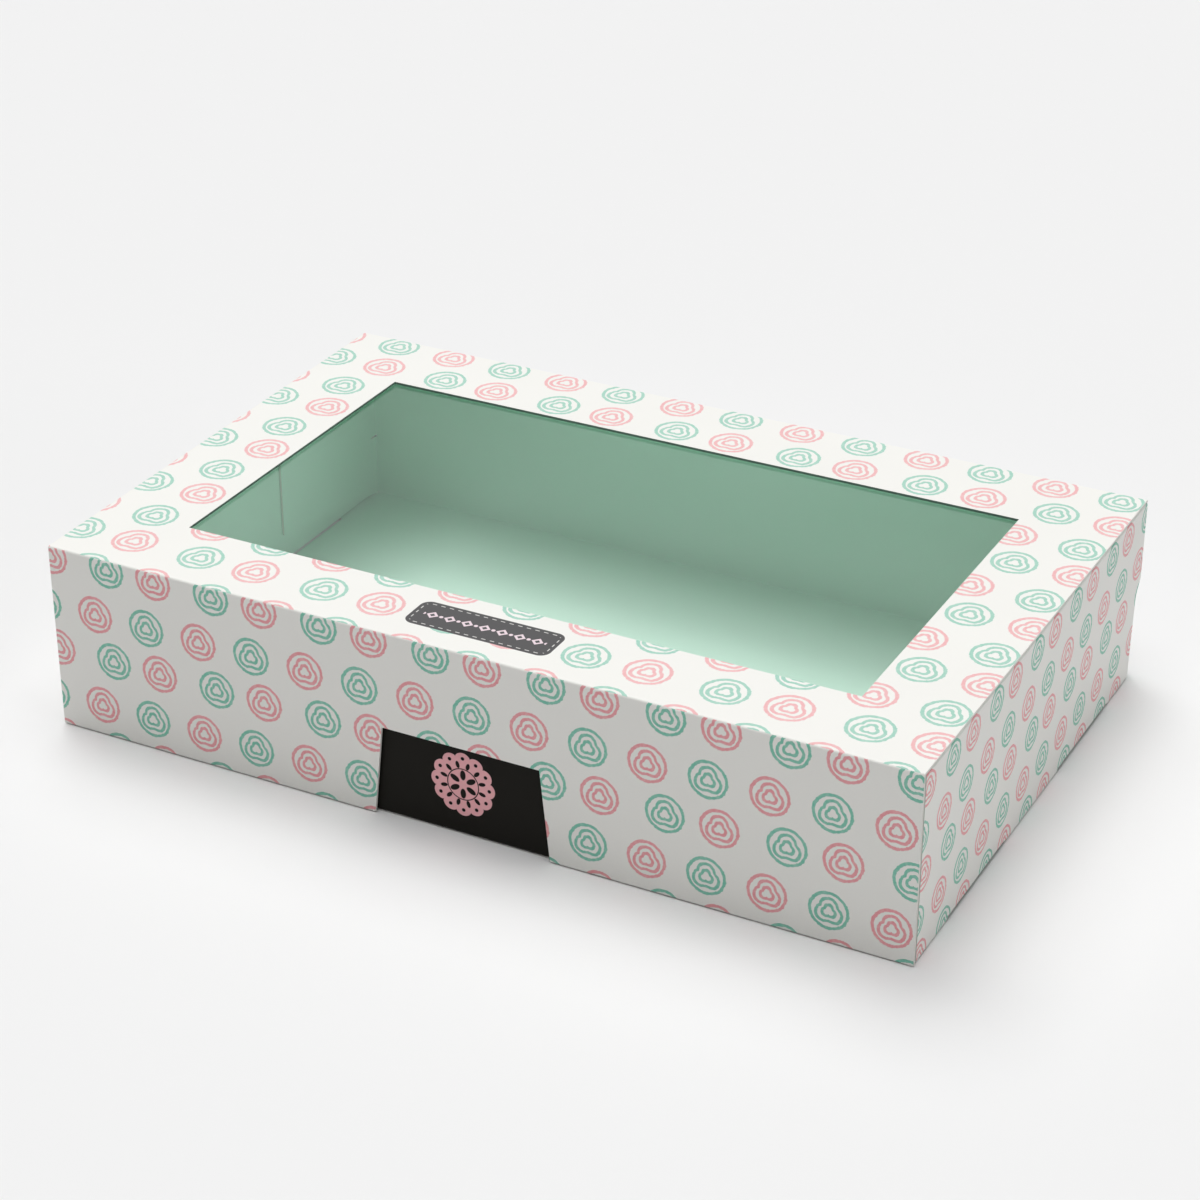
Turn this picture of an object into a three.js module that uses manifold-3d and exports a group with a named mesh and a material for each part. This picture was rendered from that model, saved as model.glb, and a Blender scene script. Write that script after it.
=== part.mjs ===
import * as THREE from 'three';
import { mergeVertices } from 'three/addons/utils/BufferGeometryUtils.js';
import Module from 'manifold-3d';

// A cake box folded from one sheet of paperboard, with a windowed lid and a front flap.
// Millimetres, +Z up, front towards -Y. The origin is the middle of the base, on the table.

// Driving dimensions of the closed box, outside
const BOX_LENGTH = 356;
const BOX_DEPTH = 230;
const BOX_HEIGHT = 77.5;

// The board and its folds
const BOARD = 1.0;
const FOLD_RADIUS = 1.0;
const ROLL_GAP = 0.6;
const FOLD_SEGMENTS = 6;

// Play between layers that only lie against each other
const LID_SEAT_GAP = 0.2;
const CREASE_GAP = 0.1;
const FLAP_GAP = 1.0;
const FLAP_FLOOR_GAP = 0.4;
const DUST_FLAP_GAP = 0.2;
const PANEL_FLOOR_GAP = 0.2;

// Window in the lid, with the clear film glued under it
const WINDOW_SIDE_MARGIN = 38.5;
const WINDOW_FRONT_MARGIN = 37.5;
const WINDOW_BACK_MARGIN = 39.5;
const FILM_THICKNESS = 0.3;
const FILM_GLUE_MARGIN = 10;

// Notch in the lower edge of the front flap
const NOTCH_FOOT_WIDTH = 73.4;
const NOTCH_HEAD_WIDTH = 65.4;
const NOTCH_HEIGHT = 37.7;

// Dust flaps on both ends of the front and back walls
const DUST_FLAP_LENGTH = 77;
const DUST_FLAP_FOOT = 2;
const DUST_FLAP_RISE = 12;
const DUST_FLAP_FALL = 3;

// Tabs of the rolled side panels, and the slots in the base folds that they lock into
const TAB_PITCH = 112;
const SLOT_LENGTH = 56;
const SLOT_HEIGHT = 2;
const SLOT_REACH = 3.6;
const TAB_PLAY = 0.5;
const TAB_FLOOR_GAP = 0.2;

// Relief cut in the lower back edge of each side wall, and the slit beside it
const RELIEF_FOOT_WIDTH = 6.5;
const RELIEF_NECK_WIDTH = 4.6;
const RELIEF_NECK_HEIGHT = 33;
const RELIEF_HEIGHT = 43;
const SLIT_HEIGHT = 29;
const SLIT_WIDTH = 0.6;
const SLIT_LENGTH = 5;

// How far a fold's strip laps over the base, and how far a cutter stands clear of what it cuts
const BASE_LAP = 8;
const CUT_OVERRUN = 2;

// Planes that several pieces share
const HALF_BOARD = BOARD / 2;
const LID_UNDERSIDE = BOX_HEIGHT - BOARD;
const WALL_TOP = LID_UNDERSIDE - LID_SEAT_GAP;
const FRONT_FACE = -BOX_DEPTH / 2;
const BACK_FACE = BOX_DEPTH / 2;
const TRAY_FRONT = FRONT_FACE + BOARD + FLAP_GAP;
const OUTER_PANEL_X = BOX_LENGTH / 2 - HALF_BOARD;
const INNER_PANEL_X = OUTER_PANEL_X - BOARD - ROLL_GAP;
const DUST_FLAP_X = INNER_PANEL_X - BOARD - DUST_FLAP_GAP;
const WALL_END_X = DUST_FLAP_X - FOLD_RADIUS;
const WINDOW_LEFT = -BOX_LENGTH / 2 + WINDOW_SIDE_MARGIN;
const WINDOW_FRONT = FRONT_FACE + WINDOW_FRONT_MARGIN;
const WINDOW_BACK = BACK_FACE - WINDOW_BACK_MARGIN;

// Colours of the board and the film
const PRINTED_WHITE = 0xeceae6;
const MINT = 0xa9d3bd;
const CLEAR = 0xf4f8f8;

const X = new THREE.Vector3(1, 0, 0);
const Y = new THREE.Vector3(0, 1, 0);
const Z = new THREE.Vector3(0, 0, 1);
const SECTION_YZ = new THREE.Matrix4().makeBasis(Y, Z, X);
const SECTION_XZ = new THREE.Matrix4().makeBasis(X, Z, Y.clone().negate());

const wasm = await Module();
wasm.setup();

// A section drawn in Y and Z, drawn out along X
function alongX(section, from, to) {
	const geometry = new THREE.ExtrudeGeometry(section, { depth: to - from, bevelEnabled: false });
	return geometry.applyMatrix4(SECTION_YZ).translate(from, 0, 0);
}

// A section drawn in X and Z, drawn out along Y
function alongY(section, from, to) {
	const geometry = new THREE.ExtrudeGeometry(section, { depth: to - from, bevelEnabled: false });
	return geometry.applyMatrix4(SECTION_XZ).translate(0, to, 0);
}

// A section drawn in X and Y, drawn out along Z
function alongZ(section, from, to) {
	const geometry = new THREE.ExtrudeGeometry(section, { depth: to - from, bevelEnabled: false });
	return geometry.translate(0, 0, from);
}

// A closed outline from [across, up] pairs
function outline(points) {
	return new THREE.Shape(points.map(([across, up]) => new THREE.Vector2(across, up)));
}

// A block between two opposite corners
function block(low, high) {
	const [x0, y0, z0] = low;
	const [x1, y1, z1] = high;
	return alongZ(outline([[x0, y0], [x1, y0], [x1, y1], [x0, y1]]), z0, z1);
}

// Points and left-hand normals along the middle of a folded strip.
// Each corner is [across, up, bend], with the bend radius of the board's middle.
function foldedLine(corners) {
	const stations = [];
	const add = (point, direction) => {
		const last = stations[stations.length - 1];
		if (last && last.point.distanceTo(point) < 1e-6) {
			return;
		}
		stations.push({ point, normal: new THREE.Vector2(-direction.y, direction.x) });
	};
	const points = corners.map(([across, up]) => new THREE.Vector2(across, up));
	const heading = (i) => points[i + 1].clone().sub(points[i]).normalize();
	add(points[0], heading(0));
	for (let i = 1; i < points.length - 1; i += 1) {
		const before = heading(i - 1);
		const after = heading(i);
		const bend = corners[i][2];
		const turn = Math.sign(before.cross(after));
		const centre = points[i].clone().addScaledVector(before, -bend).addScaledVector(after, bend);
		const startAngle = Math.atan2(before.y, before.x) - turn * Math.PI / 2;
		for (let k = 0; k <= FOLD_SEGMENTS; k += 1) {
			const angle = startAngle + turn * (Math.PI / 2) * (k / FOLD_SEGMENTS);
			const spoke = new THREE.Vector2(Math.cos(angle), Math.sin(angle));
			const direction = new THREE.Vector2(-spoke.y, spoke.x).multiplyScalar(turn);
			add(centre.clone().addScaledVector(spoke, bend), direction);
		}
	}
	add(points[points.length - 1], heading(points.length - 2));
	return stations;
}

// The section of board folded square at each corner
function foldedBoard(corners) {
	const stations = foldedLine(corners);
	const left = stations.map(({ point, normal }) => point.clone().addScaledVector(normal, HALF_BOARD));
	const right = stations.map(({ point, normal }) => point.clone().addScaledVector(normal, -HALF_BOARD));
	return new THREE.Shape([...left, ...right.reverse()]);
}

function toSolid(geometry) {
	geometry.deleteAttribute('normal');
	geometry.deleteAttribute('uv');
	const merged = mergeVertices(geometry);
	return new wasm.Manifold(new wasm.Mesh({
		numProp: 3,
		vertProperties: merged.attributes.position.array,
		triVerts: Uint32Array.from(merged.index.array),
	}));
}

function toGeometry(solid) {
	const mesh = solid.getMesh();
	const geometry = new THREE.BufferGeometry();
	geometry.setAttribute('position', new THREE.BufferAttribute(mesh.vertProperties, 3));
	geometry.setIndex(new THREE.BufferAttribute(mesh.triVerts, 1));
	geometry.computeVertexNormals();
	return geometry;
}

function joined(geometries) {
	return geometries.map(toSolid).reduce((whole, next) => whole.add(next));
}

function without(solid, cutters) {
	return cutters.map(toSolid).reduce((left, cutter) => left.subtract(cutter), solid);
}

// One side wall: up from the base, over the top in a tight roll, and down inside again
function sideWallSection(side) {
	const rollBend = (BOARD + ROLL_GAP) / 2;
	const rollTop = WALL_TOP - HALF_BOARD;
	return foldedBoard([
		[side * (BOX_LENGTH / 2 - BASE_LAP), HALF_BOARD],
		[side * OUTER_PANEL_X, HALF_BOARD, FOLD_RADIUS],
		[side * OUTER_PANEL_X, rollTop, rollBend],
		[side * INNER_PANEL_X, rollTop, rollBend],
		[side * INNER_PANEL_X, BOARD + PANEL_FLOOR_GAP],
	]);
}

function acrossSide(side, near, far) {
	return side > 0 ? [near, far] : [-far, -near];
}

// Slots in the base fold of a side wall, one pair on each side
function tabSlot(side, middle) {
	const [x0, x1] = acrossSide(side, BOX_LENGTH / 2 - SLOT_REACH, BOX_LENGTH / 2 + CUT_OVERRUN);
	const half = SLOT_LENGTH / 2;
	return block([x0, middle - half, -CUT_OVERRUN], [x1, middle + half, SLOT_HEIGHT]);
}

// A tab runs on down from the rolled inner panel into its slot
function lockingTab(side, middle) {
	const [x0, x1] = acrossSide(side, INNER_PANEL_X - HALF_BOARD, INNER_PANEL_X + HALF_BOARD);
	const half = SLOT_LENGTH / 2 - TAB_PLAY;
	return block([x0, middle - half, TAB_FLOOR_GAP], [x1, middle + half, SLOT_HEIGHT + BOARD]);
}

// The lower back edge of a side wall is cut back and runs out to the corner in a curve
function reliefCut(side) {
	const section = new THREE.Shape();
	section.moveTo(BACK_FACE - RELIEF_FOOT_WIDTH, -CUT_OVERRUN);
	section.lineTo(BACK_FACE + CUT_OVERRUN, -CUT_OVERRUN);
	section.lineTo(BACK_FACE + CUT_OVERRUN, RELIEF_HEIGHT);
	section.lineTo(BACK_FACE, RELIEF_HEIGHT);
	section.quadraticCurveTo(
		BACK_FACE - RELIEF_NECK_WIDTH, (RELIEF_HEIGHT + RELIEF_NECK_HEIGHT) / 2,
		BACK_FACE - RELIEF_NECK_WIDTH, RELIEF_NECK_HEIGHT,
	);
	const [x0, x1] = acrossSide(side, BOX_LENGTH / 2 - BASE_LAP - CUT_OVERRUN, BOX_LENGTH / 2 + CUT_OVERRUN);
	return alongX(section, x0, x1);
}

function sideWall(side) {
	const wall = toSolid(alongY(sideWallSection(side), TRAY_FRONT, BACK_FACE));
	const middles = [-TAB_PITCH / 2, TAB_PITCH / 2];
	const cut = without(wall, [reliefCut(side), ...middles.map((middle) => tabSlot(side, middle))]);
	return middles.reduce((whole, middle) => whole.add(toSolid(lockingTab(side, middle))), cut);
}

// The front or back wall: up from the base, with a dust flap folded in at each end.
// outward is the way the wall faces along Y, and face is where its outside lies.
function endWall(outward, face) {
	const middle = face - outward * HALF_BOARD;
	const wall = toSolid(alongX(foldedBoard([
		[face - outward * BASE_LAP, HALF_BOARD],
		[middle, HALF_BOARD, FOLD_RADIUS],
		[middle, WALL_TOP],
	]), -WALL_END_X, WALL_END_X));
	const freeEdge = face - outward * DUST_FLAP_LENGTH;
	const flaps = toSolid(alongZ(foldedBoard([
		[-DUST_FLAP_X, freeEdge],
		[-DUST_FLAP_X, middle, FOLD_RADIUS],
		[DUST_FLAP_X, middle, FOLD_RADIUS],
		[DUST_FLAP_X, freeEdge],
	]), DUST_FLAP_FOOT, WALL_TOP));
	const flapRoot = face - outward * (BOARD + FOLD_RADIUS);
	const pastEdge = freeEdge - outward * CUT_OVERRUN;
	const lowerTaper = outline([
		[flapRoot, 0],
		[flapRoot, DUST_FLAP_FOOT],
		[freeEdge, DUST_FLAP_FOOT + DUST_FLAP_RISE],
		[pastEdge, DUST_FLAP_FOOT + DUST_FLAP_RISE],
		[pastEdge, 0],
	]);
	const upperTaper = outline([
		[flapRoot, BOX_HEIGHT],
		[flapRoot, WALL_TOP],
		[freeEdge, WALL_TOP - DUST_FLAP_FALL],
		[pastEdge, WALL_TOP - DUST_FLAP_FALL],
		[pastEdge, BOX_HEIGHT],
	]);
	const tapered = without(flaps, [lowerTaper, upperTaper].map(
		(taper) => alongX(taper, -BOX_LENGTH / 2, BOX_LENGTH / 2)));
	return wall.add(tapered);
}

// A short slit through the fold at each end of the back wall
function foldSlit(side) {
	const [x0, x1] = acrossSide(side, WALL_END_X, DUST_FLAP_X + BOARD);
	return block(
		[x0, BACK_FACE - SLIT_LENGTH, SLIT_HEIGHT - SLIT_WIDTH / 2],
		[x1, BACK_FACE + CUT_OVERRUN, SLIT_HEIGHT + SLIT_WIDTH / 2],
	);
}

// The tray: base, two rolled side walls, front and back walls and their dust flaps, one sheet
function trayGeometry() {
	const edge = FOLD_RADIUS + HALF_BOARD;
	const base = toSolid(block(
		[-BOX_LENGTH / 2 + SLOT_REACH, TRAY_FRONT + edge, 0],
		[BOX_LENGTH / 2 - SLOT_REACH, BACK_FACE - edge, BOARD],
	));
	const backWall = without(endWall(1, BACK_FACE), [foldSlit(-1), foldSlit(1)]);
	const frontWall = endWall(-1, TRAY_FRONT);
	return toGeometry([sideWall(-1), sideWall(1), frontWall, backWall].reduce(
		(whole, wall) => whole.add(wall), base));
}

// The lid's section: flat board, with its front and back folds rounded outside
function lidSection() {
	const section = new THREE.Shape();
	section.moveTo(FRONT_FACE, LID_UNDERSIDE);
	section.lineTo(BACK_FACE, LID_UNDERSIDE);
	section.absarc(BACK_FACE - BOARD, LID_UNDERSIDE, BOARD, 0, Math.PI / 2, false);
	section.lineTo(FRONT_FACE + BOARD, BOX_HEIGHT);
	section.absarc(FRONT_FACE + BOARD, LID_UNDERSIDE, BOARD, Math.PI / 2, Math.PI, false);
	return section;
}

function lidGeometry() {
	const plate = toSolid(alongX(lidSection(), -BOX_LENGTH / 2, BOX_LENGTH / 2));
	const window = block(
		[WINDOW_LEFT, WINDOW_FRONT, LID_UNDERSIDE - CUT_OVERRUN],
		[-WINDOW_LEFT, WINDOW_BACK, BOX_HEIGHT + CUT_OVERRUN],
	);
	return toGeometry(without(plate, [window]));
}

// The clear film is a little larger than the window and is glued flat under the lid
function filmGeometry() {
	return block(
		[WINDOW_LEFT - FILM_GLUE_MARGIN, WINDOW_FRONT - FILM_GLUE_MARGIN, LID_UNDERSIDE - FILM_THICKNESS],
		[-WINDOW_LEFT + FILM_GLUE_MARGIN, WINDOW_BACK + FILM_GLUE_MARGIN, LID_UNDERSIDE],
	);
}

// The front flap hangs from the lid, outside the tray, with a notch that widens downwards
function frontFlapGeometry() {
	const foot = FLAP_FLOOR_GAP;
	const head = LID_UNDERSIDE - CREASE_GAP;
	const halfLength = BOX_LENGTH / 2;
	return alongY(outline([
		[-halfLength, foot],
		[-NOTCH_FOOT_WIDTH / 2, foot],
		[-NOTCH_HEAD_WIDTH / 2, NOTCH_HEIGHT],
		[NOTCH_HEAD_WIDTH / 2, NOTCH_HEIGHT],
		[NOTCH_FOOT_WIDTH / 2, foot],
		[halfLength, foot],
		[halfLength, head],
		[-halfLength, head],
	]), FRONT_FACE, FRONT_FACE + BOARD);
}

function boardMaterial(color) {
	return new THREE.MeshStandardMaterial({ color, roughness: 0.6, metalness: 0, flatShading: true });
}

function filmMaterial() {
	return new THREE.MeshStandardMaterial({
		color: CLEAR, roughness: 0.05, metalness: 0, transparent: true, opacity: 0.2,
	});
}

function piece(name, geometry, material) {
	const mesh = new THREE.Mesh(geometry, material);
	mesh.name = name;
	return mesh;
}

const cakeBox = new THREE.Group();
cakeBox.add(
	piece('tray', trayGeometry(), boardMaterial(MINT)),
	piece('lid', lidGeometry(), boardMaterial(PRINTED_WHITE)),
	piece('window_film', filmGeometry(), filmMaterial()),
	piece('front_flap', frontFlapGeometry(), boardMaterial(PRINTED_WHITE)),
);

export default cakeBox;
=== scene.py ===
# %% [markdown]
# # A folded cake box
# The box is one sheet of printed paperboard, folded into a tray with a hinged lid and a front flap,
# and a clear film glued under the lid's window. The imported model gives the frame: every measure
# below is in that frame, with the origin in the middle of the base, +Y to the hinge and +Z up.

# %% Load the frame
import math

import bmesh
import bpy
from mathutils import Matrix, Vector


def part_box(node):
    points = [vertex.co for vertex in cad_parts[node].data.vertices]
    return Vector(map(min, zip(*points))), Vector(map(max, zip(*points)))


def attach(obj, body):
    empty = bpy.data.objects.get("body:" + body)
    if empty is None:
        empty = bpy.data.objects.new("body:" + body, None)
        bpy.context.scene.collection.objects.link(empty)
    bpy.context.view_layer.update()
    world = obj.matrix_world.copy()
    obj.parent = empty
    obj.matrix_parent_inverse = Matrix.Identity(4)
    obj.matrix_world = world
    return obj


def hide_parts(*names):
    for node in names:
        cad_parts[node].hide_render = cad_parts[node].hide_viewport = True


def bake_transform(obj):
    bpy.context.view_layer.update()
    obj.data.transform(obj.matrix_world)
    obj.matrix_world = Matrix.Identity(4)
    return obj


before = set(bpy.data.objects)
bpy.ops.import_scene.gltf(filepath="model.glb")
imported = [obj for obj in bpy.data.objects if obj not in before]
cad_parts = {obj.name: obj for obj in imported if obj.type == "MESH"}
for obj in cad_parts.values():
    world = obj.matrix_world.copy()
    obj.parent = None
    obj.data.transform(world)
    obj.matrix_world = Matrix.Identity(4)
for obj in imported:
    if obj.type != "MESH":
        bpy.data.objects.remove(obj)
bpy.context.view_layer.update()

# %% [markdown]
# ## Measures
# Board is drawn in millimetres, as a box maker draws it, and each finished sheet is scaled to
# metres once. Everything is measured on the outside of the board, because a sheet is drawn as its
# printed side alone, and its thickness is added at the end.

# %% Measures of the board, in millimetres
MM = 0.001
BOARD = 1.0
FOLD = 1.5          # radius of a fold, outside
ROLL = 1.3          # radius of the tight roll along the top of a side wall, outside
CREASE_RADIUS = 1.0  # radius of a crease that bends as a hinge, outside
STEPS = 4           # facets in an eighth of a turn

lid_low, lid_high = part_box("lid")
LENGTH = round((lid_high.x - lid_low.x) / MM, 3)
HALF_LENGTH = LENGTH / 2
BACK = round(lid_high.y / MM, 3)
FRONT = round(lid_low.y / MM, 3)
TOP = round(lid_high.z / MM, 3)
print("outside, mm:", LENGTH, "x", BACK - FRONT, "x", TOP)

# %% [markdown]
# ## Folding in bmesh
# A carton maker starts from a flat blank and folds it. Four small helpers do the same: a flat
# panel to start from, a fold (the spin operator sweeps an edge round a hinge), an extension (the
# edge is extruded straight on) and a cut (bisect_plane). A bent box could also be carved from a
# solid block, but a folded sheet keeps one thickness everywhere, as real board does.

# %% Helpers that fold and cut a sheet
def flat_panel(x0, x1, y0, y1, z, columns=1, rows=1):
    sheet = bmesh.new()
    place = Matrix.Translation(((x0 + x1) / 2, (y0 + y1) / 2, z))
    size = Matrix.Diagonal(((x1 - x0) / 2, (y1 - y0) / 2, 1, 1))
    bmesh.ops.create_grid(sheet, x_segments=columns, y_segments=rows, size=1, matrix=place @ size)
    return sheet


def edges_where(sheet, test):
    return [edge for edge in sheet.edges if all(test(vert.co) for vert in edge.verts)]


def faces_where(sheet, test):
    return [face for face in sheet.faces if test(face.calc_center_median())]


def fold(sheet, edges, hinge, axis, degrees, steps):
    swept = bmesh.ops.spin(
        sheet, geom=edges, cent=hinge, axis=axis, angle=math.radians(degrees), steps=steps)
    return [part for part in swept["geom_last"] if isinstance(part, bmesh.types.BMEdge)]


def extend(sheet, edges, offset):
    grown = bmesh.ops.extrude_edge_only(sheet, edges=edges)["geom"]
    verts = [part for part in grown if isinstance(part, bmesh.types.BMVert)]
    bmesh.ops.translate(sheet, vec=offset, verts=verts)
    new_edges = [part for part in grown if isinstance(part, bmesh.types.BMEdge)]
    return [edge for edge in new_edges if set(edge.verts) <= set(verts)]


def cut(sheet, faces, point, normal):
    edges = {edge for face in faces for edge in face.edges}
    verts = {vert for face in faces for vert in face.verts}
    bmesh.ops.bisect_plane(sheet, geom=[*faces, *edges, *verts], dist=1e-5, plane_co=point, plane_no=normal)


def remove(sheet, faces):
    bmesh.ops.delete(sheet, geom=faces, context="FACES")


SAME_PLACE = 1e-3


def near(a, b):
    return abs(a - b) < SAME_PLACE


# %% [markdown]
# ## From a sheet to a piece
# When a sheet is folded, each face is given its zone of the print, and its place on the board in
# millimetres as a UV map. The map is laid from the side that the face looks to, so a print runs
# straight across its panel and stops in the middle of a fold, as it does on the real box.
# A Solidify modifier then gives the board its thickness inwards. Its material offsets give every
# zone three finishes: the printed outside, the mint inside and the cut edge.

# %% Finish a sheet
FINISHES = 3        # outside, inside and cut edge of one zone
FLAT_FIRST = 1.0001  # a face at exactly 45 degrees is printed from above


def lay_print(sheet, zone_of):
    layer = sheet.loops.layers.uv.new("sheet")
    sheet.normal_update()
    for face in sheet.faces:
        normal = face.normal
        middle = face.calc_center_median()
        face.material_index = FINISHES * zone_of(middle, normal)
        across = {"x": abs(normal.x), "y": abs(normal.y), "z": abs(normal.z) * FLAT_FIRST}
        looks = max(across, key=across.get)
        for loop in face.loops:
            x, y, z = loop.vert.co
            if looks == "z":
                loop[layer].uv = (x, y)
            elif looks == "x":
                loop[layer].uv = (math.copysign(1, middle.x) * y, z)
            else:
                loop[layer].uv = (-math.copysign(1, middle.y) * x, z)


def face_outwards(sheet, sample):
    bmesh.ops.recalc_face_normals(sheet, faces=sheet.faces)
    sheet.normal_update()
    centre, outwards = sample
    nearest = min(sheet.faces, key=lambda face: (face.calc_center_median() - Vector(centre)).length)
    if nearest.normal.dot(Vector(outwards)) < 0:
        bmesh.ops.reverse_faces(sheet, faces=sheet.faces)


def make_board(name, sheet, zones, thickness=BOARD):
    bmesh.ops.scale(sheet, vec=(MM, MM, MM), verts=sheet.verts)
    mesh = bpy.data.meshes.new(name)
    sheet.to_mesh(mesh)
    sheet.free()
    piece = bpy.data.objects.new(name, mesh)
    bpy.context.scene.collection.objects.link(piece)
    for zone in zones:
        for finish in zone:
            mesh.materials.append(finish)
    solid = piece.modifiers.new("thickness of the board", "SOLIDIFY")
    solid.thickness = thickness * MM
    solid.offset = -1
    solid.use_even_offset = True
    solid.use_quality_normals = True
    solid.material_offset = 1
    solid.material_offset_rim = 2
    print(name, len(mesh.polygons), "faces before thickness")
    return piece


# %% [markdown]
# ## Node groups for the print
# A shader node group is a small machine with named inputs and outputs that several materials can
# share. Two helpers below start a group and join values, so that the groups read like formulas.

# %% Helpers for shader nodes
def start_group(name, inputs, outputs):
    group = bpy.data.node_groups.new(name, "ShaderNodeTree")
    for label, kind, value in inputs:
        socket = group.interface.new_socket(name=label, in_out="INPUT", socket_type="NodeSocket" + kind)
        if value is not None:
            socket.default_value = value
    for label, kind in outputs:
        group.interface.new_socket(name=label, in_out="OUTPUT", socket_type="NodeSocket" + kind)
    given = group.nodes.new("NodeGroupInput").outputs
    result = group.nodes.new("NodeGroupOutput").inputs
    return group, given, result


def feed(tree, value, socket):
    if isinstance(value, bpy.types.NodeSocket):
        tree.links.new(value, socket)
    else:
        socket.default_value = value


def calc(tree, operation, *values):
    node = tree.nodes.new("ShaderNodeMath")
    node.operation = operation
    for value, socket in zip(values, node.inputs):
        feed(tree, value, socket)
    return node.outputs[0]


def hypotenuse(tree, x, y):
    squares = calc(tree, "ADD", calc(tree, "MULTIPLY", x, x), calc(tree, "MULTIPLY", y, y))
    return calc(tree, "SQRT", squares)


def ramp(tree, value, low, high, to_low=0.0, to_high=1.0):
    node = tree.nodes.new("ShaderNodeMapRange")
    node.interpolation_type = "SMOOTHSTEP"
    for socket, given in zip(node.inputs, (value, low, high, to_low, to_high)):
        feed(tree, given, socket)
    return node.outputs["Result"]


def blend(tree, how, amount, first, second):
    node = tree.nodes.new("ShaderNodeMix")
    node.data_type = "RGBA"
    node.blend_type = how
    feed(tree, amount, node.inputs["Factor"])
    feed(tree, first, node.inputs[6])
    feed(tree, second, node.inputs[7])
    return node.outputs[2]


def noise(tree, vector, scale, detail=2.0, dimensions="2D"):
    node = tree.nodes.new("ShaderNodeTexNoise")
    node.noise_dimensions = dimensions
    feed(tree, vector, node.inputs["Vector"])
    node.inputs["Scale"].default_value = scale
    node.inputs["Detail"].default_value = detail
    return node.outputs["Fac"]


def split(tree, vector):
    node = tree.nodes.new("ShaderNodeSeparateXYZ")
    feed(tree, vector, node.inputs[0])
    return node.outputs


def combine(tree, x, y, z=0.0):
    node = tree.nodes.new("ShaderNodeCombineXYZ")
    for value, socket in zip((x, y, z), node.inputs):
        feed(tree, value, socket)
    return node.outputs[0]


def use_group(tree, group, **values):
    node = tree.nodes.new("ShaderNodeGroup")
    node.node_tree = group
    for label, value in values.items():
        feed(tree, value, node.inputs[label.replace("_", " ")])
    return node.outputs


# %% [markdown]
# ### The rosette
# One motif is a ring round two wavy three-lobed rings, one lobe upwards, drawn with one pen width.
# In polar form each line is a radius that swells with the angle, so the distance to the nearest of
# the three radii, compared with half the pen's width, is the ink. A little noise gives it the
# unsteady line of a drawing by hand, thicker in one place and thinner in another.

# %% The rosette group
OUTER_RING = 0.1528
LOBED_RINGS = ((0.0790, 0.0325), (0.0360, 0.0212))
LOBES = 3
LOBES_DROP = 0.0064
LOBE_ROUNDING = 0.02
WOBBLE = 0.012
PRESSURE = 0.011
PEN = 0.0128        # half the pen's width
SOFT_PEN = 0.2      # the ink fades over this part of PEN each side of a line's edge

rosette, given, result = start_group(
    "Rosette", [("Across", "Float", 0.0), ("Up", "Float", 0.0)], [("Ink", "Float")])
across, up = given["Across"], given["Up"]


def wander(scale, amount):
    cloud = noise(rosette, combine(rosette, across, up), scale)
    return calc(rosette, "MULTIPLY", calc(rosette, "SUBTRACT", cloud, 0.5), amount)


unsteady = wander(14.0, WOBBLE)
ring_radius = calc(rosette, "ADD", hypotenuse(rosette, across, up), unsteady)
nearest = calc(rosette, "ABSOLUTE", calc(rosette, "SUBTRACT", ring_radius, OUTER_RING))
up = calc(rosette, "ADD", up, LOBES_DROP)
lobed_radius = calc(rosette, "ADD", hypotenuse(rosette, across, up), unsteady)
turn = calc(rosette, "ARCTAN2", across, up)
wave = calc(rosette, "COSINE", calc(rosette, "MULTIPLY", turn, LOBES / 2))
lobes = calc(rosette, "SQRT", calc(rosette, "MULTIPLY_ADD", wave, wave, LOBE_ROUNDING))
for base, swell in LOBED_RINGS:
    line = calc(rosette, "MULTIPLY_ADD", lobes, swell, base)
    off_line = calc(rosette, "ABSOLUTE", calc(rosette, "SUBTRACT", lobed_radius, line))
    nearest = calc(rosette, "MINIMUM", nearest, off_line)
drawn_line = calc(rosette, "ADD", nearest, wander(45.0, PRESSURE))
ink = ramp(rosette, drawn_line, PEN * (1 - SOFT_PEN), PEN * (1 + SOFT_PEN), 1.0, 0.0)
feed(rosette, ink, result["Ink"])
print("rosette group:", len(rosette.nodes), "nodes")

# %% [markdown]
# ### The repeat
# The print repeats in cells that are wider than high. Each cell holds four rosettes in two
# staggered rows, mint and pink by turns. Wrapping the position to half a cell each side of a
# motif's centre repeats it for ever, so one group draws any size of board. The ink multiplies the
# board's white, as a thin ink on paper does.

# %% The rosette print group
MOTIFS = ((0.0, 0.0, "mint"), (0.5, 0.0, "pink"), (0.65, 0.53, "mint"), (0.10, 0.53, "pink"))
CELL_SHAPE = 0.84
PINK_INK = (0.94, 0.37, 0.42, 1)
MINT_INK = (0.20, 0.62, 0.49, 1)
THINNEST_INK = 0.82

repeat, given, result = start_group(
    "Rosette print",
    [("Place", "Vector", None), ("Strength", "Float", 1.0)],
    [("Ink", "Color")])
place = split(repeat, given["Place"])
inks = {"pink": 0.0, "mint": 0.0}
for centre_across, centre_up, ink in MOTIFS:
    across = calc(repeat, "WRAP", calc(repeat, "SUBTRACT", place[0], centre_across), 0.5, -0.5)
    up = calc(repeat, "WRAP", calc(repeat, "SUBTRACT", place[1], centre_up), 0.5, -0.5)
    drawn = use_group(repeat, rosette, Across=across, Up=calc(repeat, "MULTIPLY", up, CELL_SHAPE))
    inks[ink] = calc(repeat, "MAXIMUM", inks[ink], drawn["Ink"])
blotches = noise(repeat, given["Place"], scale=30.0, detail=3.0)
cover = ramp(repeat, blotches, 0.2, 0.7, THINNEST_INK, 1.0)
cover = calc(repeat, "MULTIPLY", cover, given["Strength"])
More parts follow.
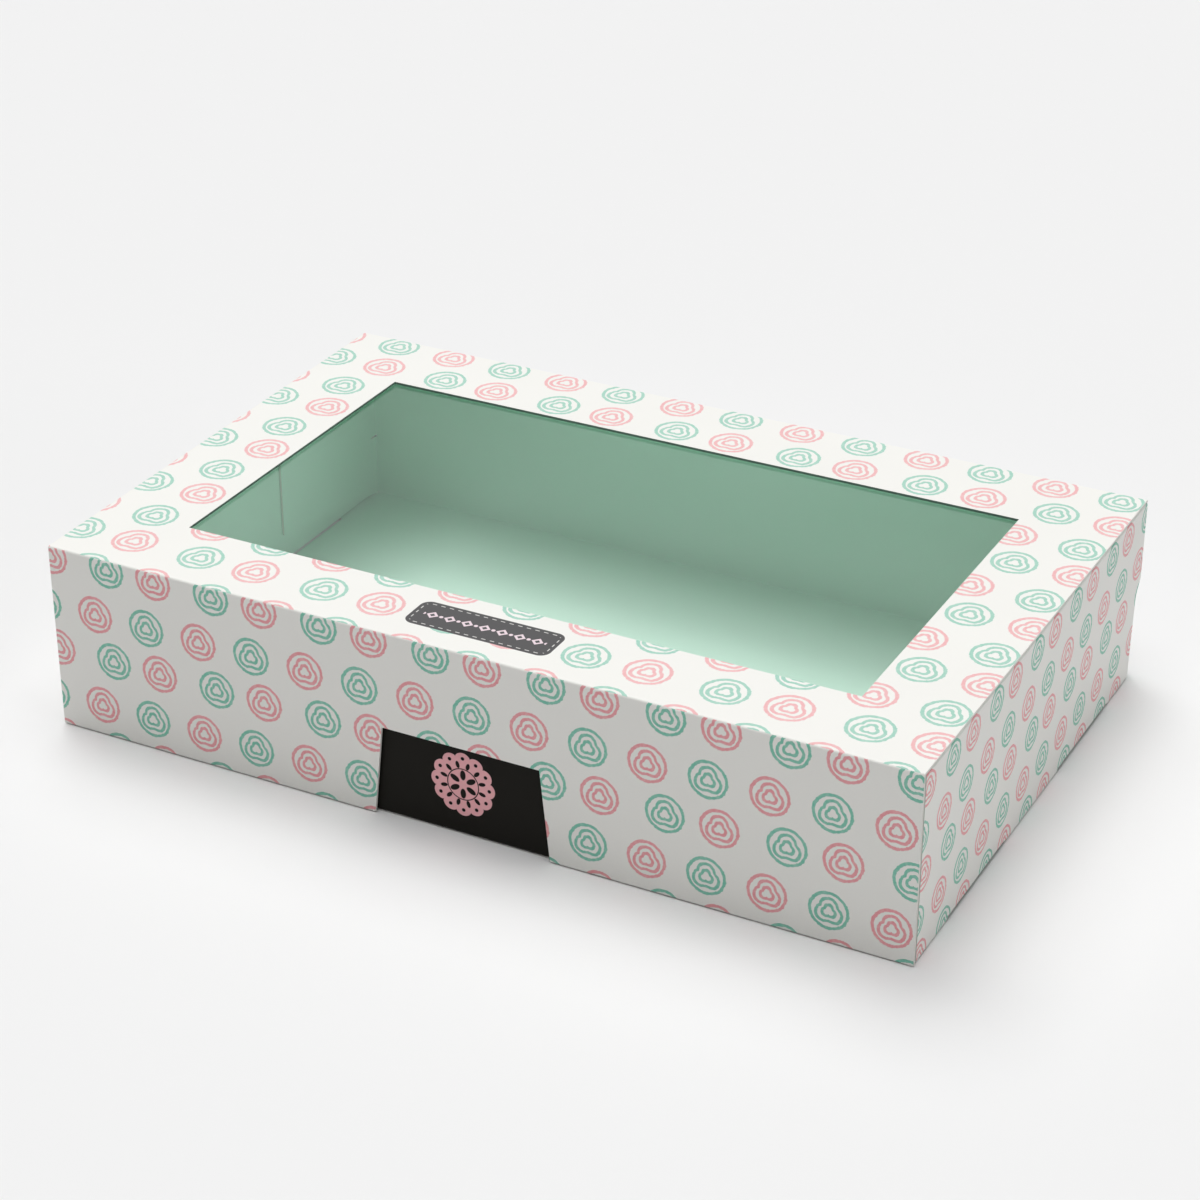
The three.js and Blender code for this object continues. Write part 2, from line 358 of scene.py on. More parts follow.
colour = blend(repeat, "MIX", calc(repeat, "MULTIPLY", inks["pink"], cover), (1, 1, 1, 1), PINK_INK)
colour = blend(repeat, "MIX", calc(repeat, "MULTIPLY", inks["mint"], cover), colour, MINT_INK)
feed(repeat, colour, result["Ink"])
print("rosette print group:", len(repeat.nodes), "nodes")

# %% [markdown]
# ### Board grain and edge wear
# Coated board isn't one flat colour: it clouds softly over centimetres and has a fine fibre under
# the coating. Folds and edges lose a little ink where they are handled. The wear group measures
# how far a point lies inside its panel's rectangle, roughened by noise.

# %% The grain and wear groups
TINT = 0.03         # how much the clouds, and the fibres too, vary the colour
SWELL_HEIGHT = 6.0  # against the height of a fibre
CLOUD_DULL = 0.12
FIBRE_DULL = 0.06

grain, given, result = start_group(
    "Board grain",
    [("Place", "Vector", None)],
    [("Tint", "Float"), ("Height", "Float"), ("Roughness", "Float")])
clouds = noise(grain, given["Place"], scale=0.02, detail=3.0, dimensions="3D")
fibre = noise(grain, given["Place"], scale=1.1, detail=4.0, dimensions="3D")
swell = noise(grain, given["Place"], scale=0.035, detail=1.0, dimensions="3D")
tint = calc(grain, "MULTIPLY_ADD", clouds, TINT, 1 - TINT / 2)
tint = calc(grain, "MULTIPLY_ADD", fibre, TINT, calc(grain, "SUBTRACT", tint, TINT / 2))
feed(grain, tint, result["Tint"])
feed(grain, calc(grain, "MULTIPLY_ADD", swell, SWELL_HEIGHT, fibre), result["Height"])
dull = calc(grain, "MULTIPLY_ADD", clouds, CLOUD_DULL, calc(grain, "MULTIPLY", fibre, FIBRE_DULL))
feed(grain, dull, result["Roughness"])
print("board grain group:", len(grain.nodes), "nodes")

RAGGED = 1.6        # most that the noise adds to the distance, in millimetres
WORN_THROUGH, UNTOUCHED = 0.55, 1.25    # millimetres from the panel's edge, noise included

wear, given, result = start_group(
    "Edge wear",
    [("Place", "Vector", None), ("Middle", "Vector", None), ("Half Size", "Vector", None)],
    [("Mask", "Float")])
place, middle, half = (split(wear, given[label]) for label in ("Place", "Middle", "Half Size"))
inside = [
    calc(wear, "SUBTRACT", half[i], calc(wear, "ABSOLUTE", calc(wear, "SUBTRACT", place[i], middle[i])))
    for i in (0, 1)
]
distance = calc(wear, "MINIMUM", *inside)
ragged = calc(wear, "MULTIPLY", noise(wear, given["Place"], scale=0.35, detail=4.0), RAGGED)
mask = ramp(wear, calc(wear, "ADD", distance, ragged), WORN_THROUGH, UNTOUCHED, 1.0, 0.0)
feed(wear, mask, result["Mask"])
print("edge wear group:", len(wear.nodes), "nodes")

# %% [markdown]
# ## Materials of the board
# Every board finish is the same satin coated board with another print on it, so one helper builds
# them all: place on the sheet, print, grain, wear, and a fine bump. Light and gloss stay in the
# Principled shader of the material itself.

# %% Board materials
WHITE = (0.875, 0.868, 0.83, 1)
MINT = (0.62, 0.85, 0.725, 1)
BLACK = (0.013, 0.012, 0.010, 1)
PULP = (0.80, 0.78, 0.73, 1)
WEAR_STRENGTH = 0.5
MEAN_GRAIN = 0.08       # about what the grain adds to the roughness


def board_material(name, colour, panel=None, print_on=None, rough=0.42, gloss=0.4):
    material = bpy.data.materials.new(name)
    material.use_nodes = True
    tree = material.node_tree
    shader = tree.nodes["Principled BSDF"]
    shader.inputs["Specular IOR Level"].default_value = gloss
    where = tree.nodes.new("ShaderNodeUVMap")
    where.uv_map = "sheet"
    place = where.outputs["UV"]
    surface = use_group(tree, grain, Place=place)
    base = colour
    if print_on is not None:
        base = print_on(tree, place, base)
    base = blend(tree, "MULTIPLY", 1.0, base, combine(tree, *[surface["Tint"]] * 3))
    if panel is not None:
        middle, half = panel
        worn = use_group(tree, wear, Place=place, Middle=(*middle, 0), Half_Size=(*half, 0))
        base = blend(tree, "MIX", calc(tree, "MULTIPLY", worn["Mask"], WEAR_STRENGTH), base, PULP)
    feed(tree, base, shader.inputs["Base Color"])
    feed(tree, calc(tree, "ADD", surface["Roughness"], rough - MEAN_GRAIN), shader.inputs["Roughness"])
    bump = tree.nodes.new("ShaderNodeBump")
    bump.inputs["Strength"].default_value = 0.5
    bump.inputs["Distance"].default_value = 0.00003
    feed(tree, surface["Height"], bump.inputs["Height"])
    feed(tree, bump.outputs["Normal"], shader.inputs["Normal"])
    return material


def rosettes(cell_width, cell_height, mint_centre, strength=1.0):
    def draw(tree, place, base):
        cells = tree.nodes.new("ShaderNodeMapping")
        feed(tree, place, cells.inputs["Vector"])
        shift = (-mint_centre[0] / cell_width, -mint_centre[1] / cell_height, 0)
        cells.inputs["Scale"].default_value = (1 / cell_width, 1 / cell_height, 1)
        cells.inputs["Location"].default_value = shift
        ink = use_group(tree, repeat, Place=cells.outputs["Vector"], Strength=strength)["Ink"]
        return blend(tree, "MULTIPLY", 1.0, base, ink)
    return draw


# the middle and half the size of each printed panel, where wear is measured from its edges
side_panel = ((1.0, 38.0), (114.2, 38.5))
long_panel = ((0.0, 38.75), (178.0, 38.75))
lid_panel = ((0.0, 0.0), (178.0, 115.0))
side_print = board_material("side print", WHITE, side_panel, rosettes(40.85, 33.9, (-73.75, 51.5)))
front_print = board_material("front print", WHITE, long_panel, rosettes(46.85, 39.5, (-135.25, 52.75)))
mint_board = board_material("mint board", MINT)
white_board = board_material("white board", WHITE)
print("board materials:", side_print.name, front_print.name, mint_board.name, white_board.name, sep=", ")

# %% [markdown]
# ### Ornament in the notch
# The front wall is flooded black, and a pink ornament shows through the notch of the flap. Here it
# is a scalloped doily: a disc whose edge swells in twelve scallops, with a ring of petals and dots
# cut out. All of it is radius and angle again.

# %% The doily group and the black wall
SCALLOPS = 12
DISC_RADIUS = 11.6
SCALLOP_RISE = 1.7
SCALLOP_POWER = 0.6         # the lower, the fuller each scallop
THIN_RING = 6.45
DOT_RINGS = (
    # how many, distance from the centre, half width, half length, turned by
    (SCALLOPS, 10.9, 0.75, 0.75, 0.0),
    (SCALLOPS, 8.2, 0.8, 1.5, math.pi / SCALLOPS),
    (6, 3.9, 1.15, 2.1, 0.0),
)
SOFT_EDGE = 0.1


def inked(tree, distance, size):
    return ramp(tree, distance, size - SOFT_EDGE, size + SOFT_EDGE, 1.0, 0.0)


doily, given, result = start_group("Scalloped doily", [("Place", "Vector", None)], [("Mask", "Float")])
across, up, _ = split(doily, given["Place"])
radius = hypotenuse(doily, across, up)
turn = calc(doily, "ARCTAN2", across, up)
scallop = calc(doily, "ABSOLUTE", calc(doily, "COSINE", calc(doily, "MULTIPLY", turn, SCALLOPS / 2)))
scallop = calc(doily, "POWER", scallop, SCALLOP_POWER)
rim = calc(doily, "MULTIPLY_ADD", scallop, SCALLOP_RISE, DISC_RADIUS)
disc = inked(doily, calc(doily, "SUBTRACT", radius, rim), 0.0)


def ring_of_dots(tree, radius, turn, count, distance, half_width, half_length, start):
    step = 2 * math.pi / count
    local = calc(tree, "WRAP", calc(tree, "ADD", turn, start), step / 2, -step / 2)
    outwards = calc(tree, "MULTIPLY", calc(tree, "COSINE", local), radius)
    along = calc(tree, "DIVIDE", calc(tree, "SUBTRACT", outwards, distance), half_length)
    sideways = calc(tree, "MULTIPLY", calc(tree, "SINE", local), radius)
    beside = calc(tree, "DIVIDE", sideways, half_width)
    return inked(tree, hypotenuse(tree, along, beside), 1.0)


off_ring = calc(doily, "ABSOLUTE", calc(doily, "SUBTRACT", radius, THIN_RING))
holes = ramp(doily, off_ring, 0.16, 0.28, 1.0, 0.0)
for ring in DOT_RINGS:
    holes = calc(doily, "MAXIMUM", holes, ring_of_dots(doily, radius, turn, *ring))
feed(doily, calc(doily, "MULTIPLY", disc, calc(doily, "SUBTRACT", 1.0, holes)), result["Mask"])

DOILY_PINK = (0.90, 0.47, 0.50, 1)
DOILY_HEIGHT = 21.5


def doily_on_black(tree, place, base):
    centre = tree.nodes.new("ShaderNodeMapping")
    feed(tree, place, centre.inputs["Vector"])
    centre.inputs["Location"].default_value = (0.0, -DOILY_HEIGHT, 0.0)
    mask = use_group(tree, doily, Place=centre.outputs["Vector"])["Mask"]
    return blend(tree, "MIX", mask, base, DOILY_PINK)


black_board = board_material("black board", BLACK, print_on=doily_on_black, rough=0.5, gloss=0.06)
print("doily group:", len(doily.nodes), "nodes, in", black_board.name)

# %% [markdown]
# ### The label on the lid
# A dark label with a row of stitches round it is printed on the lid's front rim. It is a rounded
# rectangle: the distance to one is the length of what sticks out past a smaller rectangle, less
# the corner's radius. Stitches are a band of that distance, broken along its length. A plain row
# of diamonds and dots fills it.

# %% The stitched label group and the lid's print
LABEL_HALF = (29.6, 8.85)
LABEL_CORNER = 4.1
STITCH_INSET = 1.6
STITCH_PITCH = 3.54
STITCH_COVER = 0.8
THREAD = (0.12, 0.28)       # a stitch fades out between these distances from its middle line
DASH = (0.75, 1.0)          # and between these along it
DIAMOND_PITCH = 7.2
DIAMOND = 2.4
DIAMOND_HOLE = 1.1
DOT = 0.8
ROW_HALF = 25.2
LABEL_Y = -95.0

label, given, result = start_group(
    "Stitched label", [("Place", "Vector", None)],
    [("Mask", "Float"), ("Stitches", "Float"), ("Ornament", "Float")])
across, up, _ = split(label, given["Place"])
out = []
for value, half in ((across, LABEL_HALF[0]), (up, LABEL_HALF[1])):
    out.append(calc(label, "SUBTRACT", calc(label, "ABSOLUTE", value), half - LABEL_CORNER))
past = [calc(label, "MAXIMUM", value, 0.0) for value in out]
corner = hypotenuse(label, *past)
within = calc(label, "MINIMUM", calc(label, "MAXIMUM", *out), 0.0)
distance = calc(label, "SUBTRACT", calc(label, "ADD", corner, within), LABEL_CORNER)
feed(label, inked(label, distance, 0.0), result["Mask"])
track = calc(label, "ABSOLUTE", calc(label, "ADD", distance, STITCH_INSET))
along_long = calc(label, "GREATER_THAN", calc(label, "SUBTRACT", out[1], out[0]), 0.0)
run = calc(label, "ADD", calc(label, "MULTIPLY", across, along_long),
           calc(label, "MULTIPLY", up, calc(label, "SUBTRACT", 1.0, along_long)))
dash = calc(label, "ABSOLUTE", calc(label, "WRAP", run, STITCH_PITCH / 2, -STITCH_PITCH / 2))
thread = ramp(label, track, *THREAD, 1.0, 0.0)
stitches = calc(label, "MULTIPLY", thread, ramp(label, dash, *DASH, 1.0, 0.0))
feed(label, stitches, result["Stitches"])
local = calc(label, "ABSOLUTE", calc(label, "WRAP", across, DIAMOND_PITCH / 2, -DIAMOND_PITCH / 2))
diamond = calc(label, "ADD", local, calc(label, "ABSOLUTE", up))
solid_diamond = inked(label, diamond, DIAMOND)
hollow = ramp(label, diamond, DIAMOND_HOLE - SOFT_EDGE, DIAMOND_HOLE + SOFT_EDGE)
side_step = calc(label, "SUBTRACT", DIAMOND_PITCH / 2, local)
dot = inked(label, hypotenuse(label, side_step, up), DOT)
ornament = calc(label, "MAXIMUM", calc(label, "MULTIPLY", solid_diamond, hollow), dot)
row_end = inked(label, calc(label, "ABSOLUTE", across), ROW_HALF)
feed(label, calc(label, "MULTIPLY", ornament, row_end), result["Ornament"])

LABEL_DARK = (0.036, 0.034, 0.036, 1)
LABEL_PALE = (0.80, 0.66, 0.71, 1)


def lid_artwork(tree, place, base):
    base = rosettes(54.4, 45.7, (-156.75, 108.0), strength=0.78)(tree, place, base)
    centre = tree.nodes.new("ShaderNodeMapping")
    feed(tree, place, centre.inputs["Vector"])
    centre.inputs["Location"].default_value = (0.0, -LABEL_Y, 0.0)
    mark = use_group(tree, label, Place=centre.outputs["Vector"])
    base = blend(tree, "MIX", mark["Mask"], base, LABEL_DARK)
    base = blend(tree, "MIX", calc(tree, "MULTIPLY", mark["Stitches"], STITCH_COVER), base, WHITE)
    return blend(tree, "MIX", mark["Ornament"], base, LABEL_PALE)


lid_print = board_material("lid print", WHITE, lid_panel, lid_artwork)
print("label group:", len(label.nodes), "nodes, in", lid_print.name)

# %% [markdown]
# ### Cut edges
# A die cuts through the coating and shows the pulp between two coats. On the outside edges it is
# pale. The edges round the window and of the dust flaps, and the tabs in the slots, are painted a
# dark grey-green: painted shade, darker than the lamps make them.

# %% Cut edge materials
EDGE_SHADE = 0.3    # how much the fibres vary the colour of a cut edge


def cut_edge(name, colour):
    material = bpy.data.materials.new(name)
    material.use_nodes = True
    tree = material.node_tree
    shader = tree.nodes["Principled BSDF"]
    shader.inputs["Roughness"].default_value = 0.8
    shader.inputs["Specular IOR Level"].default_value = 0.25
    where = tree.nodes.new("ShaderNodeTexCoord").outputs["Object"]
    fibres = noise(tree, where, scale=2500.0, detail=3.0, dimensions="3D")
    shade = calc(tree, "MULTIPLY_ADD", fibres, EDGE_SHADE, 1 - EDGE_SHADE / 2)
    base = blend(tree, "MULTIPLY", 1.0, colour, combine(tree, shade, shade, shade))
    feed(tree, base, shader.inputs["Base Color"])
    bump = tree.nodes.new("ShaderNodeBump")
    bump.inputs["Strength"].default_value = 0.4
    bump.inputs["Distance"].default_value = 0.00005
    feed(tree, fibres, bump.inputs["Height"])
    feed(tree, bump.outputs["Normal"], shader.inputs["Normal"])
    return material


pale_edge = cut_edge("pale cut edge", (0.82, 0.80, 0.76, 1))
# painted shade: a dark grey-green for the window's cut edge, the dust flaps' edges and the tabs' outer
# faces
painted_shade_edge = cut_edge("cut edge with painted shade", (0.13, 0.19, 0.16, 1))
print("cut edges:", pale_edge.name, "and", painted_shade_edge.name)

# %% [markdown]
# ## The tray
# The tray is one sheet: base, two side walls that roll over the top and come down again inside,
# front and back walls, and a dust flap at both ends of these. It starts as the flat base.

# %% The base
TRAY_FRONT = -113.0
ROLLED_X = 175.4
DUST_X = 175.2
WALL_END = DUST_X - FOLD
WALL_TOP = 76.3
BASE_X = HALF_LENGTH - FOLD
BASE_FRONT = TRAY_FRONT + FOLD
BASE_BACK = BACK - FOLD
SLOT_X = 174.4
A_LITTLE = 0.1      # millimetres of play where faces and edges are picked by their place

tray = flat_panel(-BASE_X, BASE_X, TRAY_FRONT, BACK, 0)
for x in (-SLOT_X, -WALL_END, WALL_END, SLOT_X):
    cut(tray, tray.faces[:], (x, 0, 0), (1, 0, 0))
for y in (BASE_FRONT, BASE_BACK):
    cut(tray, faces_where(tray, lambda c: abs(c.x) < WALL_END), (0, y, 0), (0, 1, 0))
remove(tray, faces_where(tray, lambda c: abs(c.x) < WALL_END and not BASE_FRONT < c.y < BASE_BACK))
print("base of the tray:", len(tray.faces), "faces")

# %% [markdown]
# ### Side walls
# Each side edge of the base folds up, runs to the top, turns over in a tight half roll, and comes
# down inside. The roll hides every cut edge along the top and makes the wall two boards thick.

# %% Fold up and roll over the side walls
ROLL_TOP = WALL_TOP - ROLL
PANEL_FOOT = 1.2
SLOT_TOP = 2.0

for side in (-1, 1):
    turn_axis = (0, -side, 0)
    edge = edges_where(tray, lambda c: near(c.x, side * BASE_X))
    edge = fold(tray, edge, (side * BASE_X, 0, FOLD), turn_axis, 90, 2 * STEPS)
    edge = extend(tray, edge, (0, 0, SLOT_TOP - FOLD))
    edge = extend(tray, edge, (0, 0, ROLL_TOP - SLOT_TOP))
    edge = fold(tray, edge, (side * (HALF_LENGTH - ROLL), 0, ROLL_TOP), turn_axis, 180, 4 * STEPS)
    edge = extend(tray, edge, (0, 0, PANEL_FOOT - ROLL_TOP))
print("with side walls:", len(tray.faces), "faces")

# %% [markdown]
# ### Relief cut
# The lower back edge of a side wall is cut back, so that the corner folds freely. The wall is
# divided at a few heights, and its back edge is moved onto a line that runs out in a curve. The
# rolled panel inside keeps its full length and closes the corner.

# %% Cut the side walls back
RELIEF_FOOT = 6.5
RELIEF_NECK = 4.6
FOOT_Z = -2.0       # the slanting edge is measured from a little below the base
NECK_Z = 33.0
RELIEF_Z = 43.0


def relief_edge(z):
    if z <= NECK_Z:
        up_the_slant = (z - FOOT_Z) / (NECK_Z - FOOT_Z)
        return BACK - RELIEF_FOOT + (RELIEF_FOOT - RELIEF_NECK) * up_the_slant
    t = (RELIEF_Z - z) / (RELIEF_Z - NECK_Z)
    return BACK - RELIEF_NECK * (1 - (1 - t) ** 2)


CURVE_HEIGHTS = (NECK_Z, 34.5, 36, 37.5, 39, 40.5, 42, RELIEF_Z)
for height in CURVE_HEIGHTS:
    cut(tray, faces_where(tray, lambda c: abs(c.x) > DUST_X), (0, 0, height), (0, 0, 1))
for vert in tray.verts:
    if near(vert.co.y, BACK) and vert.co.z < RELIEF_Z:
        vert.co.y = relief_edge(vert.co.z) if abs(vert.co.x) > ROLLED_X + BOARD else BASE_BACK
bmesh.ops.remove_doubles(tray, verts=tray.verts, dist=1e-4)
print("relief cut: foot at y", round(relief_edge(0), 2), "neck at y", round(relief_edge(NECK_Z), 2))

# %% [markdown]
# ### Slots and tabs
# Two slots lie in each base fold, and two tabs of the rolled panel lock down into them. A tab
# leans outwards as it goes in, and its outer face is painted dark: painted shade, which shows as a dark
# line at the foot of the wall.

# %% Cut the slots and draw out the tabs
SLOT_ENDS = (28.0, 84.0)
TAB_PLAY = 0.5
TAB_DROP = 1.0
TAB_LEAN = 1.1

for side in (-1, 1):
    for end in SLOT_ENDS:
        low_strip = faces_where(tray, lambda c: abs(c.x) > SLOT_X and c.z < SLOT_TOP)
        cut(tray, low_strip, (0, side * end, 0), (0, 1, 0))
        panel_foot = faces_where(tray, lambda c: near(abs(c.x), ROLLED_X) and c.z < NECK_Z)
        inwards = TAB_PLAY if end == SLOT_ENDS[0] else -TAB_PLAY
        cut(tray, panel_foot, (0, side * (end + inwards), 0), (0, 1, 0))
remove(tray, faces_where(
    tray, lambda c: abs(c.x) > SLOT_X and c.z < SLOT_TOP and SLOT_ENDS[0] < abs(c.y) < SLOT_ENDS[1]))
for side in (-1, 1):
    tab_edges = edges_where(tray, lambda c: near(c.x, side * ROLLED_X) and near(c.z, PANEL_FOOT)
                            and SLOT_ENDS[0] < abs(c.y) < SLOT_ENDS[1])
    extend(tray, tab_edges, (side * TAB_LEAN, 0, -TAB_DROP))
print("with slots and tabs:", len(tray.faces), "faces")

# %% [markdown]
# ### Front and back walls with dust flaps
# Each of these walls folds up from the base, and a dust flap folds in at both of its ends. The
# flaps taper towards their free edge. They lie flat inside the rolled side panels.

# %% Fold up the front and back walls and their dust flaps
FLAP_FOOT = 1.6
CORNER_FOOT = 1.03  # at the fold, the flap comes right down onto the base and closes the corner
FLAP_LENGTH = 77.0
FLAP_RISE = 12.0
FLAP_FALL = 3.0

for outwards, root, face in ((-1, BASE_FRONT, TRAY_FRONT), (1, BASE_BACK, BACK)):
    edge = edges_where(tray, lambda c: near(c.y, root) and abs(c.x) < WALL_END + A_LITTLE and near(c.z, 0))
    edge = fold(tray, edge, (0, root, FOLD), (outwards, 0, 0), 90, 2 * STEPS)
    edge = extend(tray, edge, (0, 0, FLAP_FOOT - FOLD))
    edge = extend(tray, edge, (0, 0, WALL_TOP - FLAP_FOOT))
    for side in (-1, 1):
        end = edges_where(tray, lambda c: near(c.x, side * WALL_END) and near(c.y, face)
                          and c.z > FLAP_FOOT - A_LITTLE)
        end = fold(tray, end, (side * WALL_END, root, 0), (0, 0, -side * outwards), 90, 2 * STEPS)
        end = extend(tray, end, (0, -outwards * (FLAP_LENGTH - FOLD), 0))
        for vert in {vert for part in end for vert in part.verts}:
            vert.co.z += FLAP_RISE if near(vert.co.z, FLAP_FOOT) else -FLAP_FALL
for vert in tray.verts:
    if abs(vert.co.x) > WALL_END + A_LITTLE and near(vert.co.z, FLAP_FOOT):
        vert.co.z = CORNER_FOOT
print("with dust flaps:", len(tray.faces), "faces")

# %% [markdown]
# ### Slit and crease seam
# A short slit crosses the corner fold beside the relief cut. The top of the back wall belongs to
# the crease that joins tray and lid, which is a piece of its own, because it has to bend.

# %% Cut the slit and the seam
SLIT = (28.7, 29.3)
SLIT_LENGTH = 5.0
SEAM = 3.0          # how far a bending crease reaches down past its fold
SEAM_Z = TOP - CREASE_RADIUS - SEAM

for height in SLIT:
    corner_strip = faces_where(tray, lambda c: WALL_END - A_LITTLE <= abs(c.x) < ROLLED_X - A_LITTLE
                               and c.y > 0)
    cut(tray, corner_strip, (0, 0, height), (0, 0, 1))
narrow = faces_where(tray, lambda c: DUST_X - A_LITTLE < abs(c.x) < ROLLED_X - A_LITTLE
                     and c.y > 0 and SLIT[0] < c.z < SLIT[1])
cut(tray, narrow, (0, BACK - SLIT_LENGTH, 0), (0, 1, 0))
remove(tray, faces_where(tray, lambda c: WALL_END < abs(c.x) < ROLLED_X - A_LITTLE
                         and c.y > BACK - SLIT_LENGTH and SLIT[0] < c.z < SLIT[1]))
back_wall = faces_where(tray, lambda c: abs(c.x) < WALL_END and near(c.y, BACK))
cut(tray, back_wall, (0, 0, SEAM_Z), (0, 0, 1))
remove(tray, faces_where(tray, lambda c: abs(c.x) < WALL_END and near(c.y, BACK) and c.z > SEAM_Z))
print("with slit and seam:", len(tray.faces), "faces")

# %% [markdown]
# ### Zones of the tray's print
# The printed side is white with rosettes outside, mint on the rolled panels, black on the front
# wall behind the flap, and plain on the base and the dust flaps. The other side is mint all over,
# but for the tabs, whose outer face is dark with painted shade.

# %% Finish the tray
TRAY_ZONES = (
    (side_print, mint_board, pale_edge),
    (front_print, mint_board, pale_edge),
    (white_board, mint_board, pale_edge),
    (black_board, mint_board, pale_edge),
    (mint_board, mint_board, pale_edge),
    # the dust flaps' cut edge carries painted shade
    (white_board, mint_board, painted_shade_edge),
    # the tab's outer face and its cut edge carry painted shade, the dark line in the slot
    (mint_board, painted_shade_edge, painted_shade_edge),
)
SIDE, BACK_WALL, BASE, FRONT_WALL, ROLLED, DUST, TAB = range(7)


def tray_zone(middle, normal):
    if abs(middle.x) > ROLLED_X and middle.z < PANEL_FOOT and normal.x * middle.x < 0:
        return TAB
    if normal.z < -0.7072:
        return BASE
    if abs(middle.x) > DUST_X:
        return SIDE if normal.x * middle.x > 0 else ROLLED
    if abs(middle.x) > WALL_END:
        return DUST
    return FRONT_WALL if middle.y < 0 else BACK_WALL


face_outwards(tray, ((0, 0, 0), (0, 0, -1)))
lay_print(tray, tray_zone)
tray_piece = make_board("tray_sheet", tray, TRAY_ZONES)
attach(tray_piece, "tray")
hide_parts("tray")

# %% [markdown]
# ## The lid
# The lid is a flat panel with a rectangular window cut out of it. It stops short of its front and
# back folds, where the bending creases take over. A narrow ring round the window is a zone of its
# own, because its cut edge is dark with painted shade.

# %% Make the lid
WINDOW_X = 139.5
WINDOW_FRONT = -77.5
WINDOW_BACK = 75.5
RING = 4.0
LID_EDGE = 112.0

lid = flat_panel(-HALF_LENGTH, HALF_LENGTH, -LID_EDGE, LID_EDGE, TOP)
for x in (-WINDOW_X - RING, -WINDOW_X, WINDOW_X, WINDOW_X + RING):
    cut(lid, lid.faces[:], (x, 0, 0), (1, 0, 0))
for y in (WINDOW_FRONT - RING, WINDOW_FRONT, WINDOW_BACK, WINDOW_BACK + RING):
    cut(lid, lid.faces[:], (0, y, 0), (0, 1, 0))
remove(lid, faces_where(lid, lambda c: abs(c.x) < WINDOW_X and WINDOW_FRONT < c.y < WINDOW_BACK))


PLAIN_RIM, ROUND_WINDOW = range(2)


def lid_zone(middle, normal):
    in_length = abs(middle.x) < WINDOW_X + RING
    in_depth = WINDOW_FRONT - RING < middle.y < WINDOW_BACK + RING
    return ROUND_WINDOW if in_length and in_depth else PLAIN_RIM


face_outwards(lid, ((150, 0, TOP), (0, 0, 1)))
lay_print(lid, lid_zone)
lid_piece = make_board("lid_panel", lid, (
    (lid_print, mint_board, pale_edge),
    # the ring's cut edge carries painted shade
    (lid_print, mint_board, painted_shade_edge),
))
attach(lid_piece, "lid")
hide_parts("lid")

# %% [markdown]
# ## The front flap
# The flap hangs from the lid in front of the tray's front wall. Its lower edge has a wide notch
# for the fingers, with sides that lean outwards to the foot.

# %% Make the front flap
FLAP_BOTTOM = 0.4
NOTCH_TOP = 37.7
NOTCH_HEAD = 32.7
NOTCH_FOOT = 36.7

flap = flat_panel(-HALF_LENGTH, HALF_LENGTH, FLAP_BOTTOM, SEAM_Z, 0)
bmesh.ops.rotate(flap, verts=flap.verts, cent=(0, 0, 0), matrix=Matrix.Rotation(math.pi / 2, 3, "X"))
bmesh.ops.translate(flap, verts=flap.verts, vec=(0, FRONT, 0))
cut(flap, flap.faces[:], (0, 0, NOTCH_TOP), (0, 0, 1))
lean = NOTCH_FOOT - NOTCH_HEAD
drop = NOTCH_TOP - FLAP_BOTTOM
for side in (-1, 1):
    lower = faces_where(flap, lambda c: c.z < NOTCH_TOP)
    cut(flap, lower, (side * NOTCH_HEAD, 0, NOTCH_TOP), (drop, 0, side * lean))
remove(flap, faces_where(flap, lambda c: abs(c.x) < NOTCH_HEAD and c.z < NOTCH_TOP))
face_outwards(flap, ((0, FRONT, 60), (0, -1, 0)))
lay_print(flap, lambda middle, normal: 0)
flap_piece = make_board("front_flap_panel", flap, ((front_print, mint_board, pale_edge),))
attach(flap_piece, "front_flap")
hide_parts("front_flap")

# %% [markdown]
# ## The two creases
# A scored crease is the hinge of a folded box: the board bends there and nowhere else. Each crease
# is a narrow strip of board that reaches a little way onto both panels. Inside a fold the board is
# crushed a little thinner.
# The back crease bends right over, and its coating cracks white along the fold.

# %% Make the creases
CREASED = 0.9
CREASE_REACH = (0.8, SEAM - 0.8)    # below the fold: a short strip, then the rest of the seam
LID_BEND = 1.4      # the bend ends this far in from the box's outside on the lid
WALL_BEND = 1.6     # and this far down the wall

back_crease = flat_panel(-HALF_LENGTH, HALF_LENGTH, LID_EDGE, BACK - CREASE_RADIUS, TOP)
for x in (-WALL_END, WALL_END):
    cut(back_crease, back_crease.faces[:], (x, 0, 0), (1, 0, 0))
edge = edges_where(back_crease, lambda c: near(c.y, BACK - CREASE_RADIUS))
hinge = (0, BACK - CREASE_RADIUS, TOP - CREASE_RADIUS)
edge = fold(back_crease, edge, hinge, (-1, 0, 0), 90, 2 * STEPS)
edge = [part for part in edge if all(abs(vert.co.x) < WALL_END + A_LITTLE for vert in part.verts)]
for reach in CREASE_REACH:
    edge = extend(back_crease, edge, (0, 0, -reach))

front_crease = flat_panel(-HALF_LENGTH, HALF_LENGTH, FRONT + CREASE_RADIUS, -LID_EDGE, TOP)
edge = edges_where(front_crease, lambda c: near(c.y, FRONT + CREASE_RADIUS))
hinge = (0, FRONT + CREASE_RADIUS, TOP - CREASE_RADIUS)
edge = fold(front_crease, edge, hinge, (1, 0, 0), 90, 2 * STEPS)
for reach in CREASE_REACH:
    edge = extend(front_crease, edge, (0, 0, -reach))

ON_LID, ON_WALL, CRACKED = range(3)


def back_zone(middle, normal):
    return CRACKED if 0.05 < normal.z < 0.99 else front_zone(middle, normal)


def front_zone(middle, normal):
    return ON_LID if normal.z > 0.7 else ON_WALL


